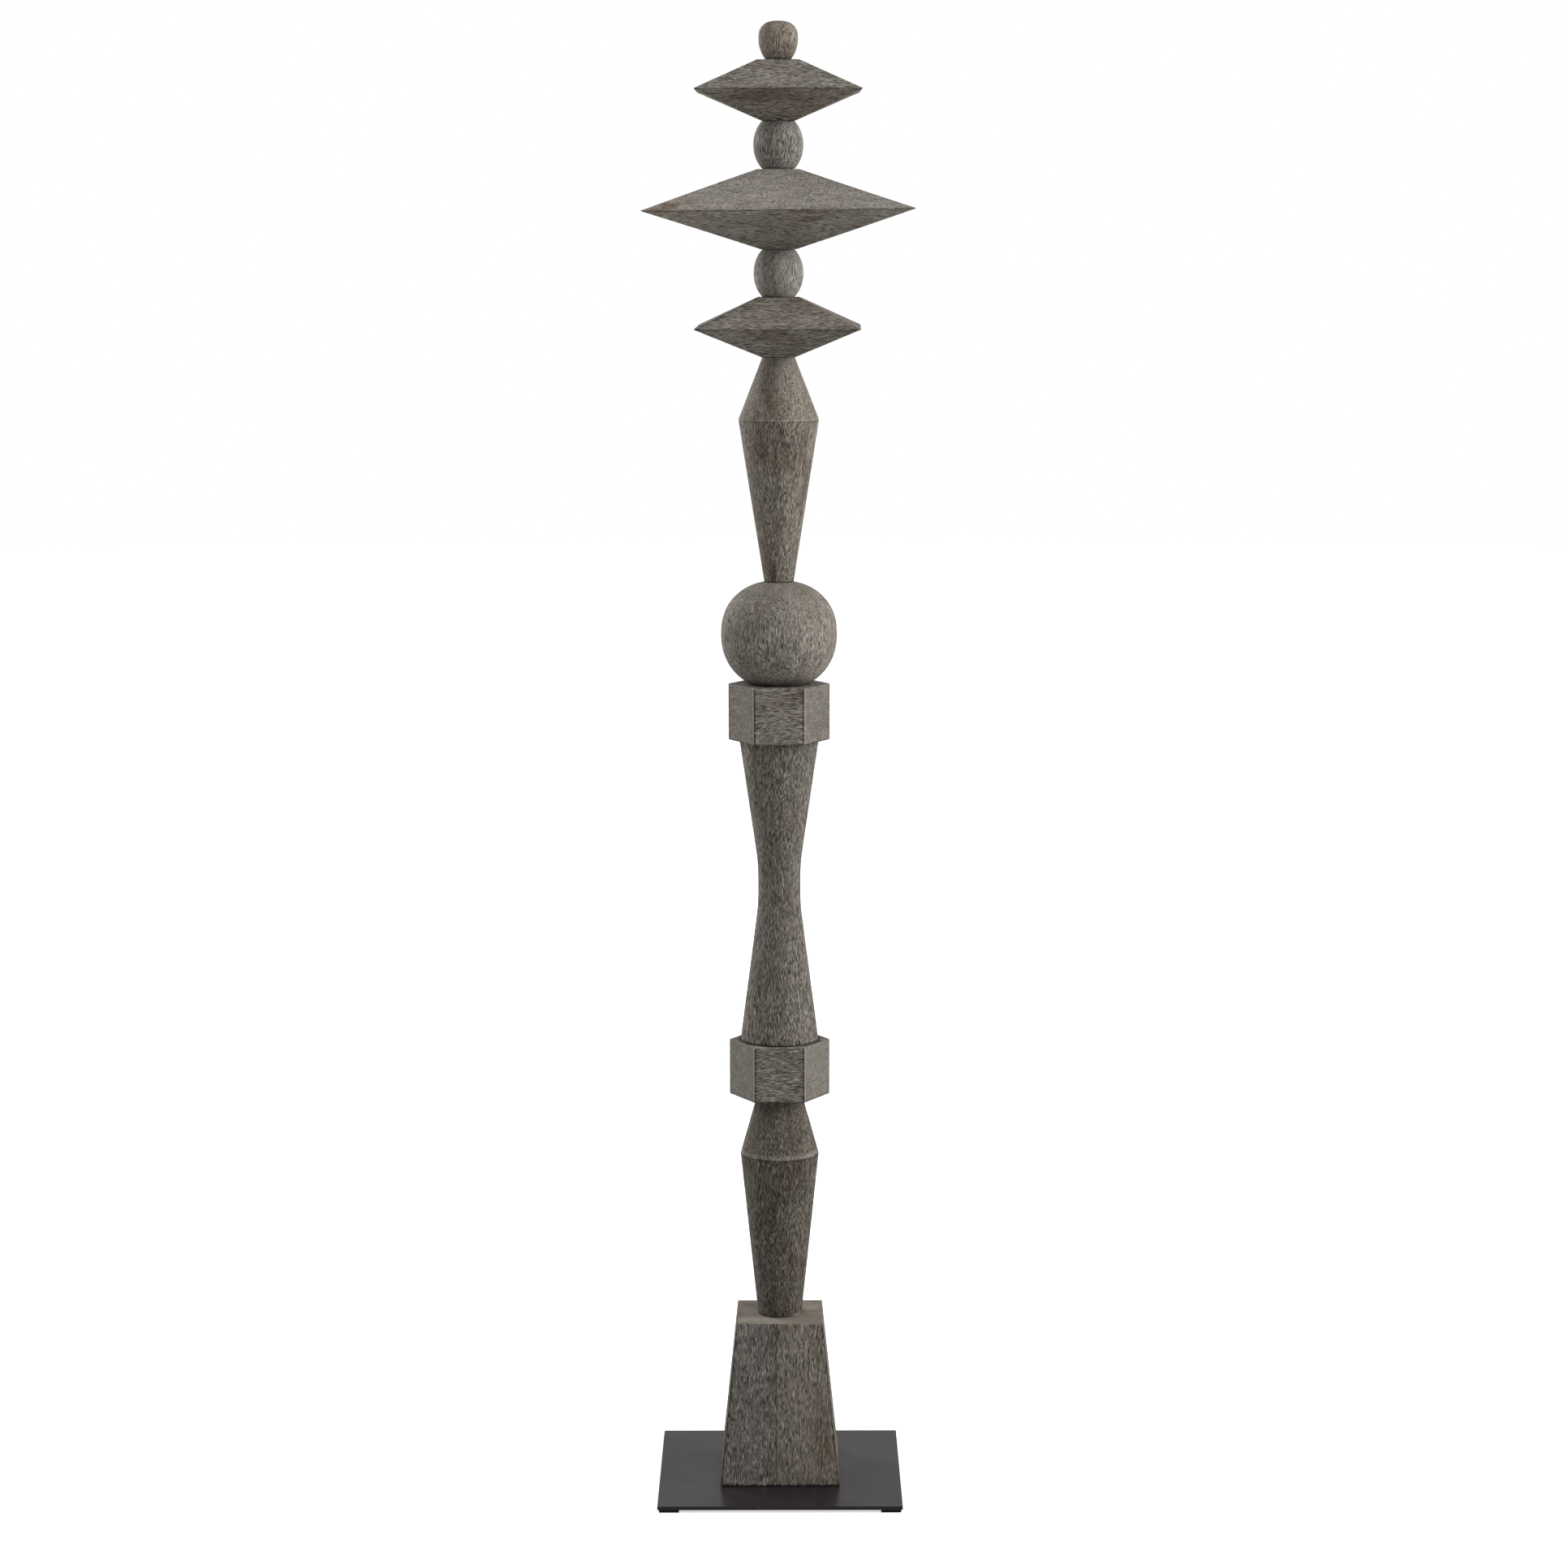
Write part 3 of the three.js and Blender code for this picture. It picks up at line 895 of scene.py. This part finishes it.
def coated_steel():
    """Sheet steel, laser cut and powder coated: satin dark bronze, with dull edges and a little dust."""
    plate = bpy.context.scene.totem_plate
    material, tree = new_material("steel_powder_coated_bronze")
    place = add_node(tree, "ShaderNodeTexCoord", {}).outputs["Object"]
    # The coat's gloss changes slowly across the sheet.
    cloud = even_noise(tree, place, 70 * MM, 3.0)
    roughness = add_node(
        tree, "ShaderNodeMapRange",
        {"Value": cloud, "From Min": 0.3, "From Max": 0.7, "To Min": 0.3, "To Max": 0.37},
    ).outputs["Result"]
    # Orange peel about 1.5 mm across.
    peel = even_noise(tree, place, 1.5 * MM, 2.0)
    bump = add_node(
        tree, "ShaderNodeBump", {"Height": peel, "Strength": 0.25, "Distance": 0.05 * MM}
    ).outputs["Normal"]
    # The cut edges mirror less: partly a thin, dull coat, and partly painted shade in place of the shaded
    # floor that they mirror.
    edge = add_node(tree, "ShaderNodeAttribute", {}, attribute_name="edge").outputs["Fac"]
    gloss = add_node(
        tree, "ShaderNodeMapRange", {"Value": edge, "To Min": 0.46, "To Max": 0.1}
    ).outputs["Result"]
    # Specks of dust about 1 mm across: only the peaks of a coarser noise.
    grit = even_noise(tree, place, 2.2 * MM, 0.0)
    speck = add_node(
        tree, "ShaderNodeMapRange", {"Value": grit, "From Min": 0.81, "From Max": 0.87, "To Max": 0.6}
    ).outputs["Result"]
    dusted = add_node(
        tree, "ShaderNodeMix", {0: speck, 6: plate.coat, 7: plate.dust}, data_type="RGBA"
    ).outputs[2]
    end_material(tree, {
        "Base Color": dusted, "Roughness": roughness, "Normal": bump,
        "IOR": 1.5, "Specular IOR Level": gloss,
    })
    return material


def foot_rubber():
    """Black rubber, moulded: matt, with a faint grain."""
    plate = bpy.context.scene.totem_plate
    material, tree = new_material("rubber_moulded_black")
    place = add_node(tree, "ShaderNodeTexCoord", {}).outputs["Object"]
    grain = even_noise(tree, place, 0.8 * MM, 2.0)
    bump = add_node(
        tree, "ShaderNodeBump", {"Height": grain, "Strength": 0.3, "Distance": 0.1 * MM}
    ).outputs["Normal"]
    end_material(tree, {
        "Base Color": plate.rubber, "Roughness": 0.85, "Normal": bump,
        "IOR": 1.52, "Specular IOR Level": 0.2,
    })
    return material


def bevelled_box(node, name, radius, material):
    """A box in a CAD node's place, with its edges rounded."""
    low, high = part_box(node)
    mesh = bpy.data.meshes.new(name)
    shape = bmesh.new()
    bmesh.ops.create_cube(shape, size=1)
    for vertex in shape.verts:
        vertex.co = Vector([low[i] + (vertex.co[i] + 0.5) * (high[i] - low[i]) for i in range(3)])
    bmesh.ops.bevel(shape, geom=list(shape.edges), offset=radius, segments=3, profile=0.5, affect="EDGES")
    for face in shape.faces:
        face.smooth = True
    shape.to_mesh(mesh)
    shape.free()
    mesh.materials.append(material)
    piece = bpy.data.objects.new(name, mesh)
    bpy.context.scene.collection.objects.link(piece)
    weighted = piece.modifiers.new("face_normals", "WEIGHTED_NORMAL")
    weighted.keep_sharp = True
    attach(piece, node)
    return piece


class TOTEM_OT_feet(bpy.types.Operator):
    """Makes the four rubber feet"""

    bl_idname = "totem.feet"
    bl_label = "Feet"

    def execute(self, context):
        radius = context.scene.totem_plate.foot_radius
        material = foot_rubber()
        for end in ("front", "back"):
            for side in ("left", "right"):
                node = f"foot_{end}_{side}"
                bevelled_box(node, node + "_pad", radius, material)
        return {"FINISHED"}


class TOTEM_OT_plate(bpy.types.Operator):
    """Makes the coated steel plate"""

    bl_idname = "totem.plate"
    bl_label = "Plate"

    def execute(self, context):
        radius = context.scene.totem_plate.edge_radius
        sheet = bevelled_box("base_plate", "base_plate_sheet", radius, coated_steel()).data
        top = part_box("base_plate")[1][2]
        edge = sheet.attributes.new("edge", "FLOAT", "POINT")
        drops = [(top - vertex.co.z) / radius for vertex in sheet.vertices]
        edge.data.foreach_set("value", [min(1.0, drop) for drop in drops])
        return {"FINISHED"}


class TOTEM_OT_block(bpy.types.Operator):
    """Makes the tapered block"""

    bl_idname = "totem.block"
    bl_label = "Tapered block"

    def execute(self, context):
        wooden_piece("tapered_block", marked=mark_block)
        return {"FINISHED"}


class TOTEM_OT_spindles(bpy.types.Operator):
    """Makes the two turned spindles"""

    bl_idname = "totem.spindles"
    bl_label = "Spindles"

    def execute(self, context):
        wooden_piece("lower_spindle", marked=mark_lower_spindle)
        wooden_piece("upper_spindle", marked=mark_spindle("upper_spindle"))
        return {"FINISHED"}


class TOTEM_OT_collars(bpy.types.Operator):
    """Makes the two hexagonal collars"""

    bl_idname = "totem.collars"
    bl_label = "Collars"

    def execute(self, context):
        wooden_piece("lower_collar", marked=mark_collar("waisted_column", -0.04))
        wooden_piece("upper_collar", marked=mark_upper_collar)
        return {"FINISHED"}


class TOTEM_OT_column(bpy.types.Operator):
    """Makes the waisted column"""

    bl_idname = "totem.column"
    bl_label = "Waisted column"

    def execute(self, context):
        wooden_piece("waisted_column")
        return {"FINISHED"}


class TOTEM_OT_balls(bpy.types.Operator):
    """Makes the ball, the beads and the finial"""

    bl_idname = "totem.balls"
    bl_label = "Ball, beads and finial"

    def execute(self, context):
        wooden_piece("ball", bulges=True, marked=mark_ball)
        for node in ("lower_bead", "upper_bead", "finial"):
            wooden_piece(node, bulges=True)
        return {"FINISHED"}


class TOTEM_OT_pyramids(bpy.types.Operator):
    """Makes the three double pyramids"""

    bl_idname = "totem.pyramids"
    bl_label = "Double pyramids"

    def execute(self, context):
        for node in ("lower_small_pyramid", "upper_small_pyramid"):
            wooden_piece(node, marked=mark_pyramid(node))
        wooden_piece("large_pyramid", marked=mark_large_pyramid)
        return {"FINISHED"}


def softbox(name, place, target, size, power):
    """Adds a rectangular area light that faces its target."""
    light = bpy.data.lights.new(name, "AREA")
    light.shape = "RECTANGLE"
    light.size, light.size_y = size
    light.energy = power
    lamp = bpy.data.objects.new(name, light)
    lamp.location = place
    lamp.rotation_euler = (Vector(target) - Vector(place)).to_track_quat("-Z", "Y").to_euler()
    lamp.visible_camera = False
    bpy.context.scene.collection.objects.link(lamp)


def stage_object(name, shape, material):
    """An object of the studio, kept out of soft light and shadows, so that it changes no other light."""
    mesh = bpy.data.meshes.new(name)
    shape.to_mesh(mesh)
    shape.free()
    mesh.materials.append(material)
    made = bpy.data.objects.new(name, mesh)
    bpy.context.scene.collection.objects.link(made)
    made.visible_diffuse = False
    made.visible_shadow = False
    made.visible_transmission = False
    return made


class TOTEM_OT_stage(bpy.types.Operator):
    """Makes the pale floor and backdrop, the soft lights and the camera"""

    bl_idname = "totem.stage"
    bl_label = "Stage"

    def execute(self, context):
        stage = context.scene.totem_stage
        low, high = CAD_BOX
        middle = (high[2] + low[2]) / 2

        paper, tree = new_material("paper_matt_white")
        end_material(tree, {
            "Base Color": linear("#f4f4f2"), "Roughness": 1.0, "Specular IOR Level": 0.0,
            "Emission Color": WHITE, "Emission Strength": stage.floor_glow,
        })
        disc = bmesh.new()
        bmesh.ops.create_circle(disc, cap_ends=True, radius=stage.floor_radius, segments=64)
        floor = stage_object("floor", disc, paper)
        floor.location.z = low[2]

        sky, tree = new_material("backdrop_lit_white")
        glow = add_node(tree, "ShaderNodeEmission", {"Color": WHITE, "Strength": 1.0})
        add_node(tree, "ShaderNodeOutputMaterial", {"Surface": glow.outputs["Emission"]})
        dome = bmesh.new()
        bmesh.ops.create_uvsphere(dome, u_segments=48, v_segments=24, radius=stage.floor_radius)
        backdrop = stage_object("backdrop", dome, sky)
        # Nothing mirrors the backdrop either.
        backdrop.visible_glossy = False

        world = bpy.data.worlds.new("room")
        world.use_nodes = True
        world.node_tree.nodes["Background"].inputs["Color"].default_value = WHITE
        world.node_tree.nodes["Background"].inputs["Strength"].default_value = stage.room_light
        context.scene.world = world

        for name, (place, size, power) in SOFTBOXES.items():
            softbox(name, place, (0, 0, middle), size, getattr(stage, power))

        lens = bpy.data.cameras.new("camera")
        lens.lens = stage.lens
        lens.sensor_width = SENSOR_WIDTH
        camera = bpy.data.objects.new("camera", lens)
        camera.location = (stage.side, -stage.distance, stage.height)
        aim = Matrix.Rotation(math.pi / 2 - stage.tilt, 3, "X") @ Matrix.Rotation(-stage.roll, 3, "Z")
        camera.rotation_euler = aim.to_euler()
        context.scene.collection.objects.link(camera)
        context.scene.camera = camera
        context.scene.view_settings.view_transform = "Standard"
        return {"FINISHED"}


class TOTEM_PT_panel(bpy.types.Panel):
    """Lists the sizes, colours and steps of the totem pole"""

    bl_idname = "TOTEM_PT_panel"
    bl_label = "Totem pole"
    bl_space_type = "VIEW_3D"
    bl_region_type = "UI"
    bl_category = "Totem"

    def draw(self, context):
        for group in (context.scene.totem_wood, context.scene.totem_plate, context.scene.totem_stage):
            box = self.layout.box()
            for name in group.__annotations__:
                box.prop(group, name)
        for operator in OPERATORS:
            self.layout.operator(operator.bl_idname)


GROUPS = {"totem_wood": TotemWood, "totem_plate": TotemPlate, "totem_stage": TotemStage}
OPERATORS = (
    TOTEM_OT_feet,
    TOTEM_OT_plate,
    TOTEM_OT_block,
    TOTEM_OT_spindles,
    TOTEM_OT_collars,
    TOTEM_OT_column,
    TOTEM_OT_balls,
    TOTEM_OT_pyramids,
    TOTEM_OT_stage,
)


def register():
    for group in GROUPS.values():
        bpy.utils.register_class(group)
    for name, group in GROUPS.items():
        setattr(bpy.types.Scene, name, bpy.props.PointerProperty(type=group))
    for cls in (*OPERATORS, TOTEM_PT_panel):
        bpy.utils.register_class(cls)


def unregister():
    for cls in (TOTEM_PT_panel, *reversed(OPERATORS)):
        bpy.utils.unregister_class(cls)
    for name in GROUPS:
        delattr(bpy.types.Scene, name)
    for group in GROUPS.values():
        bpy.utils.unregister_class(group)


def main():
    """Runs every step in order."""
    register()
    for operator in OPERATORS:
        group, name = operator.bl_idname.split(".")
        getattr(getattr(bpy.ops, group), name)()


if __name__ == "__main__":
    main()
